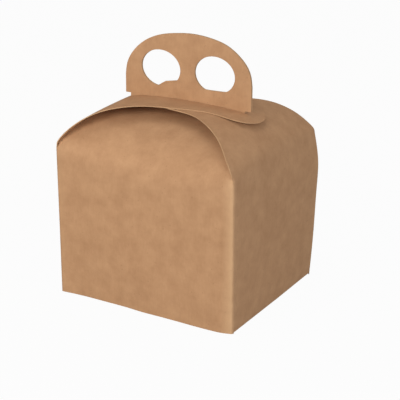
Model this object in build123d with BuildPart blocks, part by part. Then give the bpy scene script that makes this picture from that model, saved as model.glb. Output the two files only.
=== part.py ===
# Kraft card cake box with a carry handle, folded from one die-cut sheet.
#
# The frame is +Z up with the origin at the middle of the base. X runs across the front, and the front
# wall faces -Y. Lengths are in millimetres.
#
# The front and back walls curve in over the top, and each ends as one ply of the handle. The side
# walls roll over without a crease into flaps. Each flap narrows to a round tongue, and the handle
# stands up through a slot in both of them. The left flap lies on the right one.

import os
from math import cos, radians, sin, sqrt

from build123d import *

os.makedirs("parts", exist_ok=True)

# Sheet
card = 0.45
sheet_gap = 0.15
fold_radius = 0.4
crease_radius = 1.3
crease_flats = 3

# Upright walls, which swell a little towards their back corners
width = 110.0
depth = 93.0
wall_height = 85.3
swell = 3.1
swell_height = 62.0
lower_swell = 1.5
lower_swell_height = 25.0
shoulder_swell = 1.7

# Rolled side flaps
flap_rise = 23.2
tongue_reach = 44.9
tongue_half_width = 14.4
tongue_tip_length = 12.6
waist_half_width = 19.8
tongue_spread = 5.2
flap_clearance = 0.4

# Curved tops of the front and back walls, measured down from the shoulders of the walls
sill_drop = 17.3
middle_bend_drop = 11.8
corner_bend_drop = 2.8
dome_rise = 15.5
neck_radius = 1.8

# Handle, measured up from its lock corners
neck_half_width = 36.1
lock_drop = 0.9
lock_overhang = 4.3
handle_side_height = 13.4
handle_arch_height = 25.1
finger_hole_radius = 11.9
finger_hole_offset = 17.2
finger_hole_rise = 16.5
hole_flat_drop = 7.9
slot_clearance = 0.25
slot_end_clearance = 0.6

# Base flaps and glued seam
lip_height = 14.0
dust_flap_reach = 44.0
dust_flap_taper = 9.0
base_clearance = 0.3
glue_flap_width = 13.0
glue_flap_taper = 5.0
glue_flap_margin = 4.0

# Overrun that carries a cutting block clear of what it cuts
overrun = 5.0

half_width = width / 2
half_depth = depth / 2
layer = card + sheet_gap
inner_crease_radius = crease_radius - card

flap_crown = wall_height + flap_rise
curve_sill = wall_height - sill_drop
dome_height = wall_height + dome_rise
neck_height = dome_height + neck_radius
ply_face_y = -(sheet_gap / 2 + card)
neck_bend_y = ply_face_y - neck_radius

lock_height = flap_crown - lock_drop
handle_half_width = neck_half_width + lock_overhang
handle_shoulder = lock_height + handle_side_height
finger_hole_height = lock_height + finger_hole_rise

# The curved walls pass under both side flaps, a clearance inside the lower one
curve_inset = 2 * layer + flap_clearance

# The arch of the side flaps over the walls, from shoulder to crown, as shares of the half width and
# of the rise. The card stands a little higher between its front and back edges, and the arch widens
# towards the back with its share of the swell.
edge_shares = [(0.98, 0.13), (0.92, 0.33), (0.80, 0.60), (0.64, 0.81), (0.48, 0.93), (0.20, 0.99)]
middle_shares = [(0.98, 0.22), (0.92, 0.43), (0.80, 0.68), (0.64, 0.875), (0.48, 0.95), (0.20, 0.99)]
arch_stations = [
    (-half_depth, 0, edge_shares),
    (0, shoulder_swell / 2, middle_shares),
    (half_depth, shoulder_swell, edge_shares),
]

# The cut edge of a side flap from its shoulder to its waist, as shares of the half width and of the
# depth that the flap loses on the way
flare_shares = [(0.92, 0.965), (0.80, 0.76), (0.64, 0.51), (0.48, 0.32), (0.30, 0.125)]
tongue_start_share = 0.30

upright = (Align.CENTER, Align.CENTER, Align.MIN)


def wall_corners(front_x, back_x, end_y, corner_radius):
    """Outline of the four walls in plan, each crease turned in narrow flats round its radius."""
    corners = [(1, 1, back_x), (-1, 1, back_x), (-1, -1, front_x), (1, -1, front_x)]
    if corner_radius == 0:
        return [(side_x * x, side_y * end_y) for side_x, side_y, x in corners]
    outline = []
    for quarter, (side_x, side_y, x) in enumerate(corners):
        for turn in range(crease_flats + 1):
            angle = radians(90 * (quarter + turn / crease_flats))
            centre_x = side_x * (x - corner_radius)
            centre_y = side_y * (end_y - corner_radius)
            outline.append((centre_x + corner_radius * cos(angle), centre_y + corner_radius * sin(angle)))
    return outline


def walls_space(inset, corner_radius=0):
    """Solid between the four walls up to their shoulders. Without a radius it keeps the full depth."""
    swells = [
        (0, 0),
        (lower_swell_height, lower_swell),
        (swell_height, swell),
        (wall_height, shoulder_swell),
    ]
    front_x = half_width - inset
    end_y = half_depth - (inset if corner_radius else 0)
    with BuildPart() as space:
        for height, back_swell in swells:
            with BuildSketch(Plane.XY.offset(height)):
                with BuildLine():
                    Polyline(*wall_corners(front_x, front_x + back_swell, end_y, corner_radius), close=True)
                make_face()
        loft()
    return space.part


def arch_spline(side, inset, widened, spread, arch_shares):
    """Line of a side flap's face right across the box, from its own shoulder to the far one."""
    rise = flap_crown - inset - wall_height
    near_reach = half_width + widened - inset
    far_reach = near_reach + spread
    near = [(side * x * near_reach, wall_height + z * rise) for x, z in arch_shares]
    far = [(-side * x * far_reach, wall_height + z * rise) for x, z in reversed(arch_shares)]
    return Spline(
        (side * near_reach, wall_height),
        *near,
        (0, wall_height + rise),
        *far,
        (-side * far_reach, wall_height),
        tangents=[(0, 1), (0, -1)],
        tangent_scalars=[1, 1],
    )


def arch_space(inset):
    """Solid under the arch of the side flaps, drawn in by the inset."""
    with BuildPart() as space:
        for y, widened, arch_shares in arch_stations:
            with BuildSketch(Plane.XZ.offset(-y)):
                with BuildLine():
                    arch = arch_spline(1, inset, widened, 0, arch_shares)
                    Line(arch @ 1, arch @ 0)
                make_face()
        loft()
    return space.part


def side_flap_outline(side):
    """Plan of a side wall's flap, from the wall on that side to the round end of its tongue."""
    lost_depth = half_depth - waist_half_width
    wall_x = side * (half_width + swell)
    shoulder = (side * half_width, half_depth)
    flare = [(side * x * half_width, waist_half_width + y * lost_depth) for x, y in flare_shares]
    waist = (0.0, waist_half_width)
    tongue_start = (-side * tongue_start_share * half_width, tongue_half_width)
    tip_centre = (side * (tongue_tip_length - tongue_reach), 0.0)
    inward = (-side, 0)
    with BuildSketch(Plane.XY.offset(wall_height)) as outline:
        with BuildLine():
            Polyline((wall_x, 0.0), (wall_x, half_depth), shoulder)
            Spline(
                shoulder, *flare, waist, tongue_start,
                tangents=[inward, inward], tangent_scalars=[1, 1],
            )
            Line(tongue_start, (tip_centre[0], tongue_half_width))
            EllipticalCenterArc(
                tip_centre, tongue_tip_length, tongue_half_width, 90, arc_size=side * 90,
            )
            mirror(about=Plane.XZ)
        make_face()
    return outline.sketch


def side_flap(side, layers_in, spread):
    """Rolled card, a number of layers in from the outer face, cut to its plan and slotted."""
    inset = layers_in * layer
    with BuildPart() as flap:
        for y, widened, arch_shares in arch_stations:
            with BuildSketch(Plane.XZ.offset(-y)):
                with BuildLine():
                    outer = arch_spline(side, inset, widened, spread, arch_shares)
                    inner = arch_spline(side, inset + card, widened, spread, arch_shares)
                    Line(outer @ 0, inner @ 0)
                    Line(outer @ 1, inner @ 1)
                make_face()
        loft()
        extrude(side_flap_outline(side), amount=flap_rise + overrun, mode=Mode.INTERSECT)
        with Locations((0, 0, wall_height)):
            Box(
                2 * (neck_half_width + slot_end_clearance),
                sheet_gap + 2 * card + 2 * slot_clearance,
                flap_crown,
                align=upright,
                mode=Mode.SUBTRACT,
            )
    return flap.part


def curved_wall():
    """Top of the front wall: upright at its sill, then curved back to the foot of the neck."""
    span = half_width + swell
    corner_bend_start = wall_height - corner_bend_drop
    middle_bend_start = wall_height - middle_bend_drop
    stations = [(-span, corner_bend_start), (0.0, middle_bend_start), (span, corner_bend_start)]
    with BuildPart() as wall:
        for x, bend_start in stations:
            with BuildSketch(Plane.YZ.offset(x)):
                with BuildLine():
                    for inset in (0.0, card):
                        face_y = inset - half_depth
                        bend_depth = neck_bend_y - face_y
                        bend_rise = dome_height - inset - bend_start
                        Line((face_y, curve_sill), (face_y, bend_start))
                        EllipticalCenterArc(
                            (neck_bend_y, bend_start), bend_depth, bend_rise, 90, arc_size=90,
                        )
                    Line((-half_depth, curve_sill), (card - half_depth, curve_sill))
                    Line((neck_bend_y, dome_height), (neck_bend_y, dome_height - card))
                make_face()
        loft()
    return wall.part


def fitted_curve(wall):
    """A curved wall cut to the room between the side walls."""
    with BuildPart() as curve:
        add(wall)
        add(curve_room.part, mode=Mode.INTERSECT)
    return curve.part


def handle_ply(plane, hole_flats):
    """One ply of the handle above the neck. A flat is card left standing at the foot of a hole."""
    with BuildPart() as ply:
        with BuildSketch(plane):
            with BuildLine():
                Polyline(
                    (0, neck_height),
                    (neck_half_width, neck_height),
                    (neck_half_width, lock_height),
                    (handle_half_width, lock_height),
                    (handle_half_width, handle_shoulder),
                )
                EllipticalCenterArc(
                    (0, handle_shoulder), handle_half_width, handle_arch_height, 0, arc_size=90,
                )
                mirror(about=Plane.YZ)
            make_face()
            for side in (-1, 1):
                with Locations((side * finger_hole_offset, finger_hole_height)):
                    Circle(finger_hole_radius, mode=Mode.SUBTRACT)
            for flat_start, flat_end in hole_flats:
                with Locations((flat_start, finger_hole_height - hole_flat_drop)):
                    Rectangle(
                        flat_end - flat_start, finger_hole_radius - hole_flat_drop,
                        align=(Align.MIN, Align.MAX),
                    )
        extrude(amount=card)
    return ply.part


# The four walls are one folded tube with soft corner creases, open at the top and the foot. The side
# walls stop a layer above the ground, where their dust flaps lie on the base flap.
with BuildPart() as tube:
    add(walls_space(0, crease_radius))
    add(walls_space(card, inner_crease_radius), mode=Mode.SUBTRACT)
    Box(2 * width, depth - 2 * crease_radius, layer, align=upright, mode=Mode.SUBTRACT)

# The front and back walls leave the tube at the sill and curve in between the side walls
with BuildPart() as curve_room:
    add(walls_space(curve_inset))
    add(arch_space(curve_inset))
    split(bisect_by=Plane.XY.offset(curve_sill), keep=Keep.TOP)

with BuildPart() as openings:
    add(curve_room.part)
    Box(2 * width, depth - 2 * card, 2 * flap_crown, align=upright, mode=Mode.SUBTRACT)

front_wall = curved_wall()
front_curve = fitted_curve(front_wall)
back_curve = fitted_curve(front_wall.mirror(Plane.XZ))

# The necks turn the curved walls up into the handle
with BuildPart() as necks:
    with BuildSketch(Plane.YZ):
        with BuildLine():
            CenterArc((neck_bend_y, neck_height), neck_radius + card / 2, 270, 90)
        trace(line_width=card)
        mirror(about=Plane.YZ)
    extrude(amount=neck_half_width, both=True)

# The finger holes are punched through both plies, and part of each waste piece stays at the foot
half_flat = sqrt(finger_hole_radius**2 - hole_flat_drop**2)
right_flat = (finger_hole_offset - half_flat, finger_hole_offset + half_flat)
left_flat = (-finger_hole_offset, half_flat - finger_hole_offset)
front_ply = handle_ply(Plane.XZ.offset(sheet_gap / 2), [right_flat])
back_ply = handle_ply(Plane.XZ.offset(ply_face_y), [left_flat, right_flat])

# The left flap is the outer one, and the end of its tongue stands off the right flap
left_flap = side_flap(-1, 0, tongue_spread)
right_flap = side_flap(1, 1, 0)

# The base flap folds in from the back wall and turns up as a lip inside the front wall
with BuildPart() as base_flap:
    with BuildSketch(Plane.YZ):
        with BuildLine():
            FilletPolyline(
                (half_depth - card, card / 2),
                (base_clearance + 3 * card / 2 - half_depth, card / 2),
                (base_clearance + 3 * card / 2 - half_depth, lip_height),
                radius=fold_radius + card / 2,
            )
        trace(line_width=card)
    extrude(amount=half_width - crease_radius, both=True)

# A dust flap folds in from the foot of each side wall and lies on the base flap
with BuildPart() as dust_flaps:
    with BuildSketch(Plane.XY.offset(layer)):
        with BuildLine():
            fold_depth = half_depth - 2 * card - 2 * base_clearance
            Polyline(
                (half_width - card / 2, 0),
                (half_width - card / 2, fold_depth),
                (half_width - dust_flap_taper, fold_depth),
                (half_width - dust_flap_reach, fold_depth - dust_flap_taper),
                (half_width - dust_flap_reach, 0),
            )
            mirror(about=Plane.XZ)
        make_face()
        mirror(about=Plane.YZ)
    extrude(amount=card)

# The glue flap folds in from the left wall and is stuck to the inside of the back wall
with BuildPart() as glue_flap:
    with BuildSketch(Plane.XZ.offset(card - half_depth)):
        with BuildLine():
            fold_x = crease_radius - half_width
            flap_top = curve_sill - glue_flap_margin
            Polyline(
                (fold_x, glue_flap_margin),
                (fold_x + glue_flap_width, glue_flap_margin + glue_flap_taper),
                (fold_x + glue_flap_width, flap_top - glue_flap_taper),
                (fold_x, flap_top),
                close=True,
            )
        make_face()
    extrude(amount=card)

with BuildPart() as carton:
    add(tube.part)
    add(openings.part, mode=Mode.SUBTRACT)
    add([front_curve, back_curve, necks.part, front_ply, back_ply, left_flap, right_flap])
    add([base_flap.part, dust_flaps.part, glue_flap.part])

carton.part.label = "carton"
export_step(carton.part, "parts/carton.step")
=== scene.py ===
from math import asin, cos, pi, radians, sin, sqrt

import bmesh
import bpy
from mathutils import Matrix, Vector


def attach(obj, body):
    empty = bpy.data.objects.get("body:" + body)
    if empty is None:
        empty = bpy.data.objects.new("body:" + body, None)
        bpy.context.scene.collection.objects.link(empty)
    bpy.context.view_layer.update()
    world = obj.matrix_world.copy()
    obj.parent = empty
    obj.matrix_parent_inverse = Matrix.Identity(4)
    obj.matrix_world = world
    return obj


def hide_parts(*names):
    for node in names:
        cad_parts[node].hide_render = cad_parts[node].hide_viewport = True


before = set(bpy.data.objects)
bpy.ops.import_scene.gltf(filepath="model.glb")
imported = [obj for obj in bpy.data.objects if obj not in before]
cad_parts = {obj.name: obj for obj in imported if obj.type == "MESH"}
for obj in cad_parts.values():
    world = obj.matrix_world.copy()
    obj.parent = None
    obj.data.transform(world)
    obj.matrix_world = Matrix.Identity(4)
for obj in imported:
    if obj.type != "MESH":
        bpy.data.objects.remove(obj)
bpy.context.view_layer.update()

# Side walls and their flaps
# The left and right walls of one die-cut sheet of kraft board, 0.45 mm thick. Each rolls over the top
# without a fold into a flap that narrows to a round tongue. The left flap lies on the right one, and
# both have a slot that the handle stands up through. The card's set swells the walls a little.
mm = 0.001
card = 0.45 * mm
sheet_gap = 0.15 * mm
layer = card + sheet_gap
half_width = 55.0 * mm
half_depth = 46.5 * mm
wall_height = 85.3 * mm
score_radius = 1.9 * mm
score_turn = radians(45)
score_steps = 6
row_step = 2.4 * mm
shoulder_row_step = 0.6 * row_step
slot_row_step = 0.8 * row_step

flap_crown = 108.5 * mm
tongue_reach = 46.6 * mm
tongue_half_width = 13.6 * mm
tongue_tip_length = 12.6 * mm
waist_half_width = 17.0 * mm
tongue_spread = 8.0 * mm
tip_steps = 14
tip_search_step = 0.02 * mm
edge_droop = 0.15 * mm
unfold_length = 6.0 * mm
left_shoulder_out = 0.8 * mm
left_foot_out = 0.6 * mm
left_shoulder_base = 0.4 * wall_height
back_foot_lift = 0.5 * mm
# How far the paler band reaches into a side wall from a corner score, and how strong it is there: partly
# stress-whitening, partly painted highlight
side_score_reach = 3.0 * mm
side_score_share = 0.5

ply_face = sheet_gap / 2 + card
neck_half_width = 36.1 * mm
slot_end_clearance = 0.6 * mm
slot_side_clearance = 0.25 * mm
slot_half_length = neck_half_width + slot_end_clearance
slot_half_width = ply_face + slot_side_clearance
punched_drop = 10.0 * mm
punched_half_length = 45.0 * mm
punched_half_width = 8.0 * mm
cut_tolerance = 0.001 * mm


def natural_spline(knots, values):
    """Smooth curve through values at rising knots, as a function of the knot variable."""
    count = len(knots)
    gaps = [knots[i + 1] - knots[i] for i in range(count - 1)]
    slopes = [(values[i + 1] - values[i]) / gaps[i] for i in range(count - 1)]
    right = [0.0] * count
    upper = [0.0] * count
    for i in range(1, count - 1):
        pivot = 2 * (gaps[i - 1] + gaps[i]) - gaps[i - 1] * upper[i - 1]
        upper[i] = gaps[i] / pivot
        right[i] = (6 * (slopes[i] - slopes[i - 1]) - gaps[i - 1] * right[i - 1]) / pivot
    bends = [0.0] * count
    for i in range(count - 2, 0, -1):
        bends[i] = right[i] - upper[i] * bends[i + 1]

    def value(x):
        i = 0
        while i < count - 2 and x > knots[i + 1]:
            i += 1
        ahead, behind = knots[i + 1] - x, x - knots[i]
        return (
            (bends[i] * ahead ** 3 + bends[i + 1] * behind ** 3) / (6 * gaps[i])
            + (values[i] / gaps[i] - bends[i] * gaps[i] / 6) * ahead
            + (values[i + 1] / gaps[i] - bends[i + 1] * gaps[i] / 6) * behind
        )

    return value


def eased(x):
    """Smooth step from 0 to 1."""
    x = min(max(x, 0.0), 1.0)
    return x * x * (3 - 2 * x)


# How far the card's set pushes each side wall out along its back crease, from the foot up
swell_heights = [0.0, 25.0 * mm, 56.0 * mm, 70.0 * mm, wall_height]
left_swell = natural_spline(swell_heights, [0.0, 1.5 * mm, 3.0 * mm, 2.7 * mm, 0.8 * mm])
right_swell = natural_spline(swell_heights, [0.3 * mm, 2.1 * mm, 3.5 * mm, 3.8 * mm, 1.3 * mm])


def wall_out(side, y, z):
    """How far a side wall stands out: most along its back crease, and a little at the front left one."""
    back_share = (y + half_depth) / (2 * half_depth)
    swell = left_swell if side < 0 else right_swell
    out = swell(min(z, wall_height)) * back_share
    if side < 0:
        shoulder_share = eased((z - left_shoulder_base) / (wall_height - left_shoulder_base))
        front_out = left_shoulder_out * shoulder_share + left_foot_out * (1 - shoulder_share)
        out += front_out * (1 - back_share)
    return out


# The arch of the flaps from shoulder to crown, as shares of the half width and of the rise: at the front
# and back cut edges, and at mid depth, where the card stands a little higher
width_shares = [1.0, 0.98, 0.92, 0.80, 0.64, 0.48, 0.20, 0.0]
front_rise_shares = [0.0, 0.13, 0.33, 0.60, 0.81, 0.93, 0.99, 1.0]
middle_rise_shares = [0.0, 0.22, 0.43, 0.68, 0.875, 0.95, 0.99, 1.0]
back_rise_shares = [0.0, 0.12, 0.29, 0.585, 0.82, 0.935, 0.99, 1.0]

arch_lengths = [0.0]
for i in range(1, len(width_shares)):
    run = (width_shares[i - 1] - width_shares[i]) * half_width
    climb_share = front_rise_shares[i] + middle_rise_shares[i]
    climb_share -= front_rise_shares[i - 1] + middle_rise_shares[i - 1]
    climb = climb_share / 2 * (flap_crown - wall_height)
    arch_lengths.append(arch_lengths[-1] + sqrt(run * run + climb * climb))
arch_length = arch_lengths[-1]


def mirrored(values, sign):
    """A table carried on past the crown to the far side."""
    return values + [sign * value for value in reversed(values[:-1])]


# The places below the shoulder make the arch leave the wall upright
upright_lengths = [-wall_height, -60.0 * mm, -25.0 * mm]
upright_shares = [1.0] * len(upright_lengths)
both_lengths = arch_lengths + [2 * arch_length - length for length in reversed(arch_lengths[:-1])]
arch_width = natural_spline(upright_lengths + both_lengths, upright_shares + mirrored(width_shares, -1))
front_rise = natural_spline(both_lengths, mirrored(front_rise_shares, 1))
middle_rise = natural_spline(both_lengths, mirrored(middle_rise_shares, 1))
back_rise = natural_spline(both_lengths, mirrored(back_rise_shares, 1))


def arch_point(side, length, y, lowered, spread):
    """Width from the middle and height of a rolled side, at a length along it from its shoulder."""
    width_share = arch_width(length)
    edge_share = (y / half_depth) ** 2
    edge_rise = front_rise(length) if y < 0 else back_rise(length)
    rise_share = middle_rise(length) * (1 - edge_share) + edge_rise * edge_share
    reach = half_width + wall_out(side, y, wall_height)
    if width_share < 0:
        reach += spread
    return width_share * reach, wall_height + rise_share * (flap_crown - lowered - wall_height)


# The plan of a flap's cut edge from the tongue's neck to the shoulder, as shares of the half width and of
# the depth that the flap loses
flare_width_shares = [-0.618, -0.56, -0.46, -0.34, -0.18, 0.0, 0.30, 0.48, 0.64, 0.80, 0.92, 1.0]
flare_depth_shares = [-0.115, -0.119, -0.139, -0.142, -0.088, 0.0, 0.122, 0.322, 0.519, 0.736, 0.922, 1.0]
flare = natural_spline(flare_width_shares, flare_depth_shares)


def flap_half_depth(x):
    """Half the flap's depth at a width from the middle, negative past the crown."""
    if x > flare_width_shares[0] * half_width:
        return waist_half_width + flare(x / half_width) * (half_depth - waist_half_width)
    past = (tongue_tip_length - tongue_reach - x) / tongue_tip_length
    return tongue_half_width * sqrt(max(1 - max(past, 0.0) ** 2, 0.0))


def spaced(first, last, step):
    """Even places from first to last, no further apart than the step."""
    count = max(int(abs(last - first) / step + 0.999), 1)
    return [first + (last - first) * i / count for i in range(count + 1)]


def panel_columns(half_span):
    """Places across a wall: offsets along it, and the turn round the score at each corner."""
    flat = half_span - score_radius
    turns = [score_turn * i / score_steps for i in range(1, score_steps + 1)]
    near = [(-flat, -turn) for turn in reversed(turns)]
    between = [(offset, 0.0) for offset in spaced(-flat, flat, row_step)]
    far = [(flat, turn) for turn in turns]
    return near + between + far


def across(offset, turn, half_span, unfolded):
    """Offset along a wall and depth in from its plane, round the score or laid out flat past it."""
    if turn == 0:
        return offset, 0.0
    side = 1 if turn > 0 else -1
    folded_offset = offset + side * score_radius * sin(abs(turn))
    flat_offset = offset + side * (half_span - abs(offset)) * abs(turn) / score_turn
    depth_in = score_radius * (1 - cos(turn)) * (1 - unfolded)
    return folded_offset + (flat_offset - folded_offset) * unfolded, depth_in


def add_panel(sheet, rows, columns, place, turned_over):
    """A grid of card with each crossing put where the folded sheet has it, and the paler band by its score
    given: partly stress-whitening, partly painted highlight.
    """
    score_whitening_and_highlight = sheet.verts.layers.float["score_whitening_and_highlight"]
    made = bmesh.ops.create_grid(sheet, x_segments=rows, y_segments=columns, size=1.0)
    for vert in made["verts"]:
        row = round((vert.co.x + 1) / 2 * rows)
        column = round((vert.co.y + 1) / 2 * columns)
        vert.co, vert[score_whitening_and_highlight] = place(row, column)
    if turned_over:
        panel_faces = {face for vert in made["verts"] for face in vert.link_faces}
        bmesh.ops.reverse_faces(sheet, faces=list(panel_faces))
    return made["verts"]


wall_rows = spaced(0.0, wall_height, row_step)


def score_whitening_and_highlight_share(offset, half_span, reach):
    """Share of the paler band near a corner score, from 0 to 1 at the score: partly stress-whitening of the
    board, partly painted highlight.
    """
    return eased(1 - (half_span - abs(offset)) / reach)


def side_panel(sheet, side, lowered, spread):
    """A side wall and the flap it rolls over into, from the ground to the tip of the tongue."""
    columns = panel_columns(half_depth)
    slot_start, slot_end = arch_length - slot_half_length, arch_length + slot_half_length
    rows = [height - wall_height for height in wall_rows]
    rows += spaced(0.0, slot_start, shoulder_row_step)[1:]
    rows += spaced(slot_start, slot_end, slot_row_step)[1:]
    tip = 2 * arch_length
    while arch_point(side, tip, 0.0, lowered, spread)[0] < -tongue_reach:
        tip -= tip_search_step
    turns = [pi / 2 * step / tip_steps for step in range(1, tip_steps + 1)]
    rows += [slot_end + (tip - slot_end) * sin(turn) for turn in turns]

    def place(row, column):
        length = rows[row]
        offset, turn = columns[column]
        if length <= 0:
            along, depth_in = across(offset, turn, half_depth, 0.0)
            foot = layer + back_foot_lift * eased(along / half_depth) if turn == 0 else 0.0
            z = max(wall_height + length, foot)
            # Paler band by the corner scores, partly stress-whitening and partly painted highlight
            mark = side_score_share * score_whitening_and_highlight_share(along, half_depth, side_score_reach)
            return Vector((side * (half_width + wall_out(side, along, z) - depth_in), along, z)), mark
        along, depth_in = across(offset, turn, half_depth, eased(length / unfold_length))
        x, z = arch_point(side, length, 0.0, lowered, spread)
        y = along / half_depth * min(flap_half_depth(x), half_depth)
        x, z = arch_point(side, length, y, lowered, spread)
        z -= edge_droop * eased(length / arch_length) * (along / half_depth) ** 4
        return Vector((side * (x - depth_in), y, z)), 0.0

    panel = add_panel(sheet, len(rows) - 1, len(columns) - 1, place, side > 0)

    # The slot is punched along the middle of the flap, and only the card round it is cut
    near_slot = []
    for vert in panel:
        if vert.co.z > flap_crown - punched_drop and abs(vert.co.x) < punched_half_length:
            if abs(vert.co.y) < punched_half_width:
                near_slot.append(vert)
    for axis, half_size in ((1, slot_half_width), (0, slot_half_length)):
        for end in (-1, 1):
            faces = {face for vert in near_slot for face in vert.link_faces}
            edges = {edge for face in faces for edge in face.edges}
            verts = {vert for face in faces for vert in face.verts}
            normal = Vector((0, 0, 0))
            normal[axis] = 1
            cut = bmesh.ops.bisect_plane(
                sheet, geom=list(verts) + list(edges) + list(faces), dist=cut_tolerance,
                plane_co=normal * end * half_size, plane_no=normal,
            )
            near_slot = list({part for part in cut["geom"] if isinstance(part, bmesh.types.BMVert)})
    waste = []
    for face in {face for vert in near_slot for face in vert.link_faces}:
        centre = face.calc_center_median()
        if abs(centre.x) < slot_half_length and abs(centre.y) < slot_half_width:
            waste.append(face)
    bmesh.ops.delete(sheet, geom=waste, context="FACES")


walls = bmesh.new()
# Vertex attribute for the paler band by the scores: partly stress-whitening, partly painted highlight
walls.verts.layers.float.new("score_whitening_and_highlight")
side_panel(walls, -1, 0.0, tongue_spread)
side_panel(walls, 1, layer, 0.0)

# Front and back walls
# The same sheet carries on round the corner scores. Above a soft bend the front and back walls curve in
# over the top, trimmed to lie just under the side flaps, and turn up into the neck of the handle.
middle_bend_start = 73.5 * mm
corner_bend_start = 82.5 * mm
dome_height = 102.0 * mm
neck_radius = 1.8 * mm
neck_height = dome_height + neck_radius
neck_bend_depth = ply_face + neck_radius
curve_clearance = 0.8 * mm
curve_steps = 22
curve_unfold_share = 1 / 6
neck_steps = 6
trim_halvings = 24
# How far the paler band reaches from the corner scores of the front and back walls, and its share at the
# left corners: partly stress-whitening, partly painted highlight
end_score_reach = 7.0 * mm
left_score_share = 0.2
weld_distance = 0.02 * mm

# How far the foot of the front wall bows out at places along it, fading to nothing at a height
foot_bow_height = 45.0 * mm
foot_x = [-53.1 * mm, -42 * mm, -25 * mm, -8 * mm, -4 * mm, 10 * mm, 25 * mm, 45 * mm, 50 * mm, 53.1 * mm]
foot_bow = natural_spline(
    foot_x, [0.0, -0.75 * mm, -0.6 * mm, 0.0, 0.4 * mm, 0.7 * mm, 1.1 * mm, 1.4 * mm, 0.9 * mm, 0.0],
)


def bend_start(x):
    """Height at which the front and back walls start to curve in."""
    return middle_bend_start + (corner_bend_start - middle_bend_start) * (x / half_width) ** 2


def front_bend(x, turn):
    """Depth from the middle plane and height of a front or back wall where it has turned by an angle."""
    start = bend_start(x)
    reach = half_depth - neck_bend_depth
    return half_depth - reach * (1 - cos(turn)), start + (dome_height - start) * sin(turn)


def front_turn(x, z):
    """Angle by which a front or back wall has turned at a height."""
    start = bend_start(x)
    if z <= start:
        return 0.0
    return asin(min((z - start) / (dome_height - start), 1.0))


def last_place(low, high, holds):
    """The furthest place from low towards high at which a condition still holds, found by halving."""
    for step in range(trim_halvings):
        middle = (low + high) / 2
        if holds(middle):
            low = middle
        else:
            high = middle
    return low


def flap_height(side, x, y):
    """Height over a point of the flap that covers a curved wall on one side."""
    lowered = layer if side > 0 else 0.0

    def further_out(length):
        return arch_point(side, length, y, lowered, 0.0)[0] > x

    return arch_point(side, last_place(0.0, arch_length, further_out), y, lowered, 0.0)[1]


def trimmed_half_width(side, facing, share):
    """Half width of a curved wall at a share of its turn, trimmed to lie just under a side's flap."""
    shoulder = half_width + wall_out(side, facing * half_depth, wall_height)

    def under_flap(x):
        bend_x = min(x, half_width)
        start_turn = front_turn(bend_x, wall_height)
        depth, height = front_bend(bend_x, start_turn + share * (pi / 2 - start_turn))
        return flap_height(side, x, facing * depth) - curve_clearance > height

    return last_place(neck_half_width, shoulder - curve_clearance, under_flap)


def end_panel(sheet, facing):
    """The front or back wall with its curved top, up to the foot of the handle."""
    columns = panel_columns(half_width)
    turn_shares = [i / curve_steps for i in range(1, curve_steps + 1)]
    widths = {
        side: [half_width + wall_out(side, facing * half_depth, wall_height)]
        + [trimmed_half_width(side, facing, share) for share in turn_shares]
        for side in (-1, 1)
    }
    neck_shares = [i / neck_steps for i in range(1, neck_steps + 1)]
    walls_up = len(wall_rows) - 1

    def place(row, column):
        offset, turn = columns[column]
        if row <= walls_up:
            z = wall_rows[row]
            along, depth_in = across(offset, turn, half_width, 0.0)
            depth = front_bend(along, front_turn(along, z))[0] if z > bend_start(along) else half_depth
            if facing < 0 and turn == 0:
                depth += foot_bow(along) * (1 - eased(z / foot_bow_height))
            corner_out = wall_out(1 if along > 0 else -1, facing * half_depth, z)
            # Paler band by the corner scores, partly stress-whitening and partly painted highlight, weaker
            # at the left corners
            mark = score_whitening_and_highlight_share(along, half_width, end_score_reach) * (1.0 if along > 0 else left_score_share)
            return Vector((along * (1 + corner_out / half_width), facing * (depth - depth_in), z)), mark
        share_row = row - walls_up
        if share_row <= curve_steps:
            share = turn_shares[share_row - 1]
            along, depth_in = across(offset, turn, half_width, eased(share / curve_unfold_share))
            x = along / half_width * widths[1 if along > 0 else -1][share_row]
            bend_x = max(-half_width, min(half_width, x))
            start_turn = front_turn(bend_x, wall_height)
            depth, z = front_bend(bend_x, start_turn + share * (pi / 2 - start_turn))
            return Vector((x, facing * (depth - depth_in), z)), 0.0
        along, depth_in = across(offset, turn, half_width, 1.0)
        x = along / half_width * widths[1 if along > 0 else -1][-1]
        x = max(-neck_half_width, min(neck_half_width, x))
        turn_up = neck_shares[share_row - curve_steps - 1] * pi / 2
        depth = neck_bend_depth - neck_radius * sin(turn_up)
        return Vector((x, facing * depth, neck_height - neck_radius * cos(turn_up))), 0.0

    rows = walls_up + curve_steps + neck_steps
    add_panel(sheet, rows, len(columns) - 1, place, facing < 0)


end_panel(walls, -1)
end_panel(walls, 1)
bmesh.ops.remove_doubles(walls, verts=walls.verts, dist=weld_distance)


def hex_colour(code):
    """An sRGB hex colour as linear values."""
    channels = [int(code[i:i + 2], 16) / 255 for i in (1, 3, 5)]
    linear = [c / 12.92 if c <= 0.04045 else ((c + 0.055) / 1.055) ** 2.4 for c in channels]
    return (*linear, 1.0)


def add_node(tree, kind, settings, links):
    """Adds a node with its settings and links, sockets being named or numbered as the node has them."""
    node = tree.nodes.new(kind)
    for name, value in settings.items():
        if isinstance(name, int) or name in node.inputs:
            node.inputs[name].default_value = value
        else:
            setattr(node, name, value)
    for name, source in links.items():
        tree.links.new(source, node.inputs[name])
    return node


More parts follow.
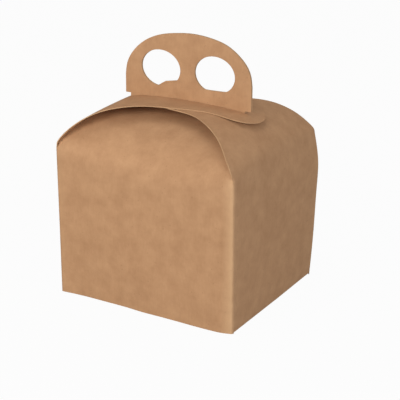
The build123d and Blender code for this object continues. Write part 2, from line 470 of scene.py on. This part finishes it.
# Uncoated kraft board, calendered: a matt brown with soft clouds a few millimetres wide where the pulp
# settled, faint upright fibres, a few darker specks, and a paler band along the corner scores, partly where
# the scores stress the board and partly a painted highlight where the card bulges by the score. The
# fibres are drawn about 1 mm wide, coarser than real ones, so that they show.
cloud_size = 9.0 * mm
fibre_width = 0.9 * mm
fibre_length = 5.0 * mm
speck_spacing = 4.0 * mm
fibre_relief = 0.05 * mm
kraft = bpy.data.materials.new("uncoated_kraft_board")
kraft.use_nodes = True
tree = kraft.node_tree
shader = tree.nodes["Principled BSDF"]
place_on = add_node(tree, "ShaderNodeTexCoord", {}, {})
clouds = add_node(
    tree, "ShaderNodeTexNoise", {"Scale": 1 / cloud_size, "Detail": 5.0, "Roughness": 0.62},
    {"Vector": place_on.outputs["Object"]},
)
cloud_colour = add_node(
    tree, "ShaderNodeMix",
    {"data_type": "RGBA", 6: hex_colour("#a0744f"), 7: hex_colour("#c89b72")},
    {0: clouds.outputs["Fac"]},
)
fibre_place = add_node(
    tree, "ShaderNodeMapping", {"Scale": (1 / fibre_width, 1 / fibre_width, 1 / fibre_length)},
    {"Vector": place_on.outputs["Object"]},
)
fibres = add_node(
    tree, "ShaderNodeTexNoise", {"Scale": 1.0, "Detail": 3.0, "Roughness": 0.6},
    {"Vector": fibre_place.outputs["Vector"]},
)
fibre_colour = add_node(
    tree, "ShaderNodeMix",
    {"data_type": "RGBA", "blend_type": "SOFT_LIGHT", 0: 0.12},
    {6: cloud_colour.outputs[2], 7: fibres.outputs["Fac"]},
)
specks = add_node(
    tree, "ShaderNodeTexVoronoi", {"Scale": 1 / speck_spacing, "Randomness": 1.0},
    {"Vector": place_on.outputs["Object"]},
)
speck_mask = add_node(
    tree, "ShaderNodeMapRange", {"From Min": 0.05, "From Max": 0.11, "To Min": 0.35, "To Max": 0.0},
    {"Value": specks.outputs["Distance"]},
)
speck_colour = add_node(
    tree, "ShaderNodeMix", {"data_type": "RGBA", 7: hex_colour("#8a6342")},
    {0: speck_mask.outputs["Result"], 6: fibre_colour.outputs[2]},
)
# Paler colour along the corner scores: partly stress-whitening of the board, partly a painted highlight
# where the card bulges by the score
score_whitening_and_highlight_attribute = add_node(tree, "ShaderNodeAttribute", {"attribute_name": "score_whitening_and_highlight"}, {})
score_share = add_node(
    tree, "ShaderNodeMath", {"operation": "MULTIPLY", 1: 0.55}, {0: score_whitening_and_highlight_attribute.outputs["Fac"]},
)
score_whitening_and_highlight_colour = add_node(
    tree, "ShaderNodeMix", {"data_type": "RGBA", 7: hex_colour("#d6ad82")},
    {0: score_share.outputs["Value"], 6: speck_colour.outputs[2]},
)
fibre_bump = add_node(
    tree, "ShaderNodeBump", {"Strength": 0.35, "Distance": fibre_relief}, {"Height": fibres.outputs["Fac"]},
)
tree.links.new(score_whitening_and_highlight_colour.outputs[2], shader.inputs["Base Color"])
tree.links.new(fibre_bump.outputs["Normal"], shader.inputs["Normal"])
shader.inputs["Roughness"].default_value = 0.82
shader.inputs["IOR"].default_value = 1.47

# Die-cut board edge: the cut opens the pulp, so it is a paler and rougher line than the faces, and crisp
crisp_edge_turn = radians(35)
pulp_size = 0.8 * mm
cut_edge = bpy.data.materials.new("die_cut_board_edge")
cut_edge.use_nodes = True
tree = cut_edge.node_tree
shader = tree.nodes["Principled BSDF"]
place_on = add_node(tree, "ShaderNodeTexCoord", {}, {})
pulp = add_node(
    tree, "ShaderNodeTexNoise", {"Scale": 1 / pulp_size, "Detail": 3.0, "Roughness": 0.6},
    {"Vector": place_on.outputs["Object"]},
)
pulp_colour = add_node(
    tree, "ShaderNodeMix",
    {"data_type": "RGBA", 6: hex_colour("#ab845e"), 7: hex_colour("#cfa981")},
    {0: pulp.outputs["Fac"]},
)
tree.links.new(pulp_colour.outputs[2], shader.inputs["Base Color"])
shader.inputs["Roughness"].default_value = 0.92


def card_piece(name, sheet):
    """Gives a sheet the board's thickness, in from its outer face, with crisp cut edges, and places it."""
    outer = set(sheet.verts)
    bmesh.ops.solidify(sheet, geom=sheet.faces[:], thickness=card)
    for face in sheet.faces:
        if 0 < sum(vert in outer for vert in face.verts) < len(face.verts):
            face.material_index = 1
    for edge in sheet.edges:
        edge.smooth = edge.calc_face_angle(0.0) < crisp_edge_turn
    mesh = bpy.data.meshes.new(name)
    sheet.to_mesh(mesh)
    sheet.free()
    mesh.shade_smooth()
    mesh.materials.append(kraft)
    mesh.materials.append(cut_edge)
    piece = bpy.data.objects.new(name, mesh)
    bpy.context.scene.collection.objects.link(piece)
    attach(piece, "root")
    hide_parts("carton")


card_piece("walls_and_flaps", walls)

# Handle
# The front and back walls each end in one ply, and the two stand up through both slots. Their corners
# overhang the slots and lock the flaps. Some of the punched waste still stands at the foot of the holes.
lock_drop = 0.9 * mm
lock_height = flap_crown - lock_drop
back_ply_shift = 0.15 * mm
hole_half_width = 12.4 * mm
hole_half_height = 10.25 * mm
hole_centres = {-1: (-16.3 * mm, 124.35 * mm), 1: (17.5 * mm, 124.8 * mm)}
waste_corner_rounding = 0.5 * mm
outline_steps = 8
hole_steps = 128

# Widths and heights in millimetres that the handle's edge runs through, and the top of the waste left in
# each hole, from the hole's centre
handle_outline = [
    (-39.3, 107.6), (-39.2, 118.0), (-38.1, 124.6), (-34.4, 131.3), (-27.1, 138.1), (-17.1, 142.8),
    (-6.0, 144.9), (5.0, 145.6), (16.8, 144.2), (26.3, 141.0), (34.2, 135.0), (38.6, 128.4),
    (39.9, 121.0), (39.9, 107.6),
]
full_foot = [(-13.0, -9.1), (13.0, -8.4)]
back_left_foot = [(-13.0, -20.0), (-1.6, -10.2), (-0.5, -8.9), (2.4, -7.2), (8.3, -6.1), (13.0, -5.6)]
front_left_foot = [(-13.0, -20.0), (-1.5, -10.3), (2.6, -8.5), (5.2, -7.6), (10.5, -6.7), (13.0, -6.2)]


def foot_height(foot, x):
    """Height from a hole's centre of the waste left in it, at a width from that centre."""
    for (from_x, from_z), (to_x, to_z) in zip(foot, foot[1:]):
        if x <= to_x * mm:
            return (from_z + (to_z - from_z) * (x / mm - from_x) / (to_x - from_x)) * mm
    return foot[-1][1] * mm


def handle_ply(facing, feet, shift):
    """One ply, with the foot of each hole where some of its waste still stands, moved along by a shift."""
    ply = bmesh.new()
    face_y = facing * ply_face
    arch = handle_outline[1:-1]
    places = list(range(len(arch)))
    arch_x = natural_spline(places, [x * mm for x, z in arch])
    arch_z = natural_spline(places, [z * mm for x, z in arch])
    outline = [(-neck_half_width, neck_height), (-neck_half_width, lock_height)]
    outline.append((handle_outline[0][0] * mm + shift, handle_outline[0][1] * mm))
    for place in spaced(0.0, places[-1], 1 / outline_steps):
        outline.append((arch_x(place) + shift, arch_z(place)))
    outline.append((handle_outline[-1][0] * mm + shift, handle_outline[-1][1] * mm))
    outline += [(neck_half_width, lock_height), (neck_half_width, neck_height)]
    verts = [ply.verts.new((x, face_y, z)) for x, z in outline]
    for first, second in zip(verts, verts[1:] + verts[:1]):
        ply.edges.new((first, second))
    for side, foot in feet:
        centre_x, centre_z = hole_centres[side]
        for vert in bmesh.ops.create_circle(ply, segments=hole_steps, radius=1.0)["verts"]:
            x, z = vert.co.x * hole_half_width, vert.co.y * hole_half_height
            floor_z = foot_height(foot, x)
            if z < 0:
                z = (z + floor_z + sqrt((z - floor_z) ** 2 + waste_corner_rounding ** 2)) / 2
            vert.co = (centre_x + x + shift, face_y, centre_z + z)
    bmesh.ops.triangle_fill(ply, edges=ply.edges, use_beauty=True)
    bmesh.ops.recalc_face_normals(ply, faces=ply.faces)
    if ply.faces[:][0].normal.y * facing < 0:
        bmesh.ops.reverse_faces(ply, faces=ply.faces)
    return ply


card_piece("handle_front_ply", handle_ply(-1, [(-1, front_left_foot), (1, full_foot)], 0.0))
card_piece("handle_back_ply", handle_ply(1, [(-1, back_left_foot), (1, full_foot)], back_ply_shift))

# Base flap and its tuck lip
# The base folds in from the foot of the back wall on a score, lies flat on the table and turns up as a
# lip inside the front wall, which it is tucked behind. It is the same board.
lip_height = 14.0 * mm
base_clearance = 0.3 * mm
base_side_clearance = 1.3 * mm
fold_radius = 0.6 * mm
fold_steps = 8
lip_y = base_clearance + card - half_depth
base = bmesh.new()
profile = [(half_depth - card, 0.0)]
for step in range(fold_steps + 1):
    turn = pi / 2 * step / fold_steps
    profile.append((lip_y + fold_radius * (1 - sin(turn)), fold_radius * (1 - cos(turn))))
profile.append((lip_y, lip_height))
base_half_width = half_width - base_side_clearance
edge_verts = [base.verts.new((-base_half_width, y, z)) for y, z in profile]
edges = [base.edges.new(pair) for pair in zip(edge_verts, edge_verts[1:])]
swept = bmesh.ops.extrude_edge_only(base, edges=edges)["geom"]
swept_verts = [part for part in swept if isinstance(part, bmesh.types.BMVert)]
bmesh.ops.translate(base, verts=swept_verts, vec=(2 * base_half_width, 0, 0))
bmesh.ops.recalc_face_normals(base, faces=base.faces)
card_piece("base_flap", base)

# Dust flaps and glued seam flap
# A dust flap folds in from the foot of each side wall and lies on the base flap, and the seam flap from
# the left wall is glued to the inside of the back wall. Both are the same board and show from no side.
dust_flap_reach = 44.0 * mm
dust_flap_taper = 9.0 * mm
glue_flap_width = 13.0 * mm
glue_flap_taper = 5.0 * mm
glue_flap_foot = 4.0 * mm
glue_flap_top = 64.0 * mm
glue_flap_inset = 1.3 * mm
inner = bmesh.new()
fold_depth = half_depth - 2 * card - 2 * base_clearance
flap_z = layer + card / 2
tip_x = half_width - dust_flap_reach
for side in (-1, 1):
    corners = [
        (half_width - card, -fold_depth), (half_width - card, fold_depth),
        (half_width - dust_flap_taper, fold_depth), (tip_x, fold_depth - dust_flap_taper),
        (tip_x, dust_flap_taper - fold_depth), (half_width - dust_flap_taper, -fold_depth),
    ]
    inner.faces.new([inner.verts.new((side * x, y, flap_z)) for x, y in corners])
seam_x = glue_flap_inset - half_width
seam_y = half_depth - 1.5 * card - sheet_gap
seam_corners = [
    (seam_x, glue_flap_foot), (seam_x + glue_flap_width, glue_flap_foot + glue_flap_taper),
    (seam_x + glue_flap_width, glue_flap_top - glue_flap_taper), (seam_x, glue_flap_top),
]
inner.faces.new([inner.verts.new((x, seam_y, z)) for x, z in seam_corners])
card_piece("dust_and_seam_flaps", inner)

# Floor
# A pale studio table that carries on out of the picture. The camera sees it almost white, and it still
# takes the soft shadow that the box casts.
floor_half_size = 3000.0 * mm
white_level = 0.965
floor_sheet = bmesh.new()
bmesh.ops.create_grid(floor_sheet, x_segments=1, y_segments=1, size=floor_half_size)
floor_mesh = bpy.data.meshes.new("floor")
floor_sheet.to_mesh(floor_mesh)
floor_sheet.free()
floor = bpy.data.objects.new("floor", floor_mesh)
bpy.context.scene.collection.objects.link(floor)
table = bpy.data.materials.new("white_studio_table")
table.use_nodes = True
tree = table.node_tree
shader = tree.nodes["Principled BSDF"]
shader.inputs["Base Color"].default_value = hex_colour("#989898")
shader.inputs["Roughness"].default_value = 0.9
rays = add_node(tree, "ShaderNodeLightPath", {}, {})
seen = add_node(
    tree, "ShaderNodeMath", {"operation": "ADD"},
    {0: rays.outputs["Is Camera Ray"], 1: rays.outputs["Is Glossy Ray"]},
)
seen_all = add_node(
    tree, "ShaderNodeMath", {"operation": "ADD", "use_clamp": True},
    {0: seen.outputs["Value"], 1: rays.outputs["Is Transmission Ray"]},
)
white_share = add_node(
    tree, "ShaderNodeMath", {"operation": "MULTIPLY", 1: white_level}, {0: seen_all.outputs["Value"]},
)
white = add_node(tree, "ShaderNodeEmission", {"Color": (1, 1, 1, 1), "Strength": 1.0}, {})
mixed = add_node(
    tree, "ShaderNodeMixShader", {},
    {0: white_share.outputs["Value"], 1: shader.outputs["BSDF"], 2: white.outputs["Emission"]},
)
tree.links.new(mixed.outputs["Shader"], tree.nodes["Material Output"].inputs["Surface"])
floor_mesh.materials.append(table)

# Camera and light
# The camera stands where the photograph's did. A soft lamp in front lights the front wall and the handle,
# a cooler one fills the right wall and a weak one above lights the rolled top. The room is white to the
# camera and dim to the box.
camera_data = bpy.data.cameras.new("camera")
camera_data.lens = 121.5
camera_data.sensor_width = 36.0
camera = bpy.data.objects.new("camera", camera_data)
bpy.context.scene.collection.objects.link(camera)
width = 2 * half_width
azimuth, elevation = radians(30.31), radians(20.653)
distance = 7.035 * width
aim_right_share, aim_up_share = 0.0643, 0.4268
back = Vector((sin(azimuth) * cos(elevation), -cos(azimuth) * cos(elevation), sin(elevation)))
right = Vector((cos(azimuth), sin(azimuth), 0))
up = back.cross(right)
camera.location = (right * aim_right_share + up * aim_up_share) * width + back * distance
camera.rotation_euler = back.to_track_quat("Z", "Y").to_euler()
bpy.context.scene.camera = camera

room = bpy.data.worlds.new("white_room")
room.use_nodes = True
tree = room.node_tree
rays = add_node(tree, "ShaderNodeLightPath", {}, {})
room_level = add_node(
    tree, "ShaderNodeMapRange", {"To Min": 0.32, "To Max": 1.0}, {"Value": rays.outputs["Is Camera Ray"]},
)
background = tree.nodes["Background"]
background.inputs["Color"].default_value = (1, 1, 1, 1)
tree.links.new(room_level.outputs["Result"], background.inputs["Strength"])
bpy.context.scene.world = room

# Each lamp's name, place, size, energy and colour
lamp_aim = Vector((0, 0, 60.0 * mm))
for name, place, size, energy, colour in (
    ("soft_lamp", (-0.17, -0.72, 0.34), 0.35, 3.75, (1.0, 0.985, 0.96)),
    ("fill_lamp", (0.93, -0.45, 0.26), 0.8, 6.3, (0.90, 0.95, 1.0)),
    ("top_lamp", (-0.15, 0.10, 0.85), 0.5, 1.3, (1.0, 0.98, 0.95)),
):
    lamp_data = bpy.data.lights.new(name, "AREA")
    lamp_data.energy = energy
    lamp_data.size = size
    lamp_data.color = colour
    lamp = bpy.data.objects.new(name, lamp_data)
    lamp.location = place
    lamp.rotation_euler = (lamp.location - lamp_aim).to_track_quat("Z", "Y").to_euler()
    bpy.context.scene.collection.objects.link(lamp)

bpy.context.scene.view_settings.view_transform = "Standard"
